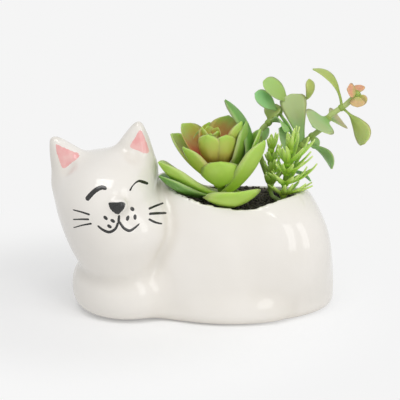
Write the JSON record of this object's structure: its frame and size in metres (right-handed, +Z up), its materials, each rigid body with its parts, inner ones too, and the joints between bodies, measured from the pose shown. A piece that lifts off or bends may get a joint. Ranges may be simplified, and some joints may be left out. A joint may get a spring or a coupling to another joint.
{
  "type": "animal shaped planter",
  "caption": "Glazed ceramic planter in the shape of a cat lying down, with a painted sleeping face and artificial succulents standing in grit in its open back.",
  "frame": {"origin": "on the standing face, below the middle of the pot", "axes": "+X from the head to the rump, +Y away from the face, +Z up"},
  "size_m": [0.188, 0.09, 0.1338],
  "materials": {
    "white_glaze": "gloss",
    "face_paint": "gloss",
    "ear_pink": "gloss",
    "floral_foam": "matte",
    "dark_grit": "matte",
    "stem_plastic": "satin",
    "rosette_leaf": "satin",
    "sprig_leaf": "satin",
    "needle_leaf": "satin"
  },
  "bodies": {
    "pot": {"cat_pot": "white_glaze", "foam_block": "floral_foam", "grit_topping": "dark_grit"},
    "rosette_pick": {"rosette_stem": "stem_plastic", "rosette_outer_whorl": "rosette_leaf", "rosette_lower_whorl": "rosette_leaf", "rosette_upper_whorl": "rosette_leaf", "rosette_heart": "rosette_leaf"},
    "sprig_pick": {"branch_stem": "stem_plastic", "branch_base_leaf": "sprig_leaf", "branch_low_leaves": "sprig_leaf", "branch_broad_leaves": "sprig_leaf", "branch_small_leaf": "sprig_leaf", "branch_middle_leaves": "sprig_leaf", "branch_upper_leaves": "sprig_leaf", "branch_tip_leaves": "sprig_leaf", "twig_low_leaves": "sprig_leaf", "twig_middle_leaves": "sprig_leaf", "twig_upper_leaves": "sprig_leaf", "twig_end_leaf": "sprig_leaf", "twig_tip_leaf": "sprig_leaf"},
    "needle_pick": {"needle_stem": "stem_plastic", "needle_whorl_1": "needle_leaf", "needle_whorl_2": "needle_leaf", "needle_whorl_3": "needle_leaf", "needle_whorl_4": "needle_leaf", "needle_crown": "needle_leaf", "shoot_whorl_1": "needle_leaf", "shoot_whorl_2": "needle_leaf", "shoot_whorl_3": "needle_leaf", "shoot_crown": "needle_leaf"}
  },
  "joints": [
    {"name": "rosette_pull", "type": "slide", "parent": "pot", "child": "rosette_pick", "axis": [0, 0, 1], "range_m": [0, 0.036]},
    {"name": "sprig_pull", "type": "slide", "parent": "pot", "child": "sprig_pick", "axis": [0, 0, 1], "range_m": [0, 0.036]},
    {"name": "needle_pull", "type": "slide", "parent": "pot", "child": "needle_pick", "axis": [0, 0, 1], "range_m": [0, 0.036]}
  ]
}
